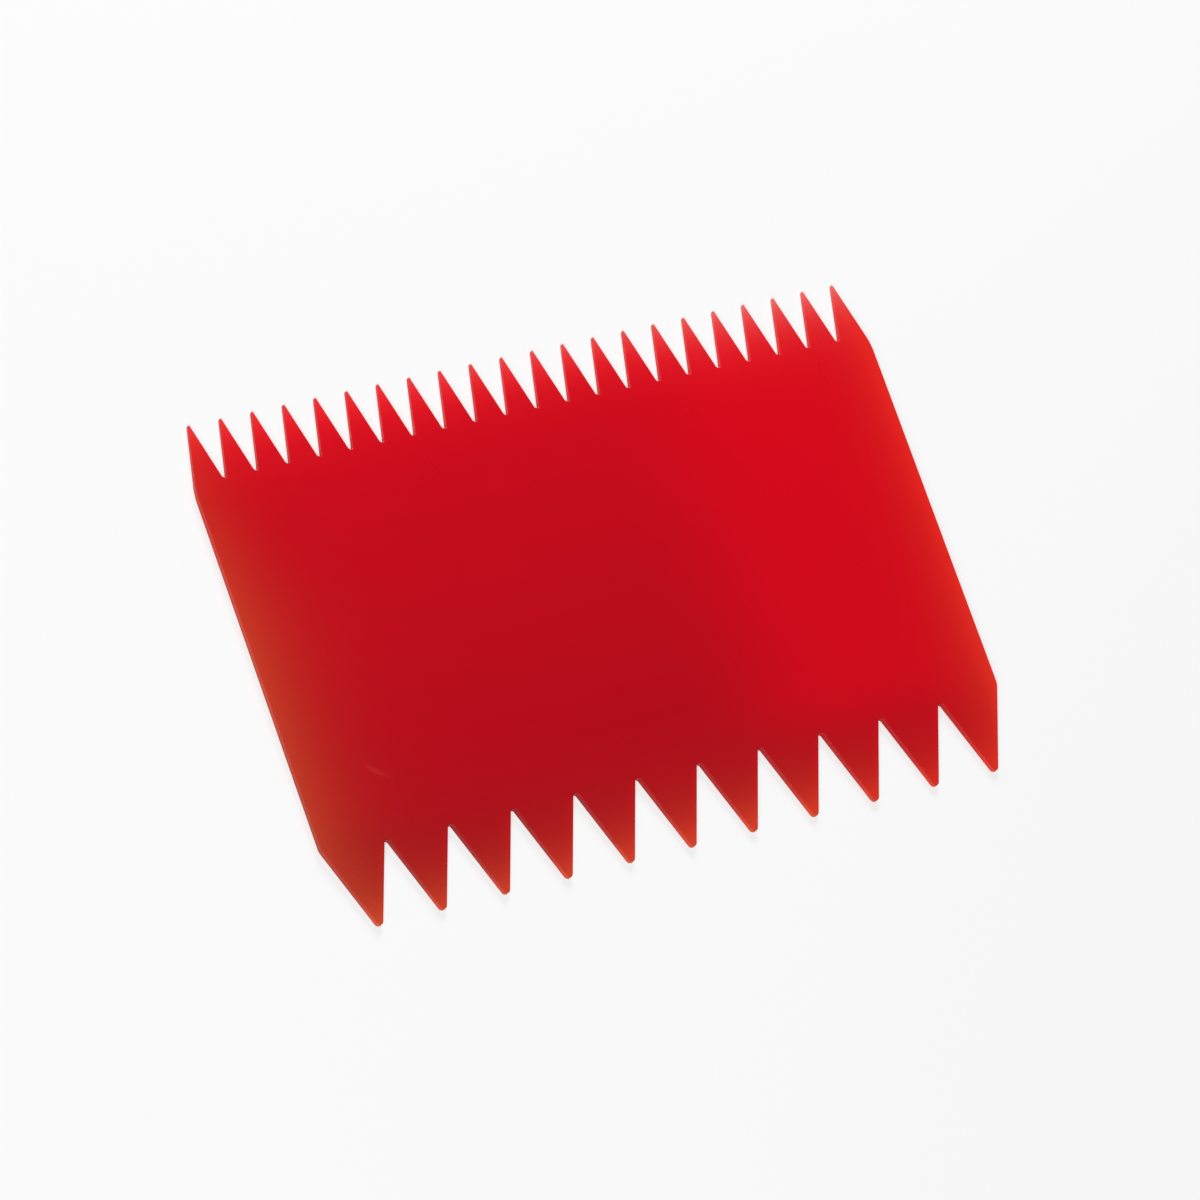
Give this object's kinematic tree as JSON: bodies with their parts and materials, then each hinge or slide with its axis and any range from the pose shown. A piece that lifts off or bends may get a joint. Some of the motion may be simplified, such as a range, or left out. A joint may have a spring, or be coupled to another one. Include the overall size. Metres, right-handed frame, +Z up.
{
  "type": "cake comb",
  "caption": "Thin flat card with fine teeth along one long edge and coarse teeth along the other, for combing ridges into cake icing.",
  "frame": {"origin": "middle of the card's plan, on the flat underside that it lies on", "axes": "+X along the rows of teeth, +Y from the coarse teeth to the fine teeth, +Z up from the underside through the card's thickness"},
  "size_m": [0.11, 0.0768, 0.0012],
  "materials": {
    "red_plastic": "satin gloss moulded plastic, bright red and slightly translucent"
  },
  "bodies": {
    "root": {"comb": "red_plastic"}
  },
  "joints": []
}
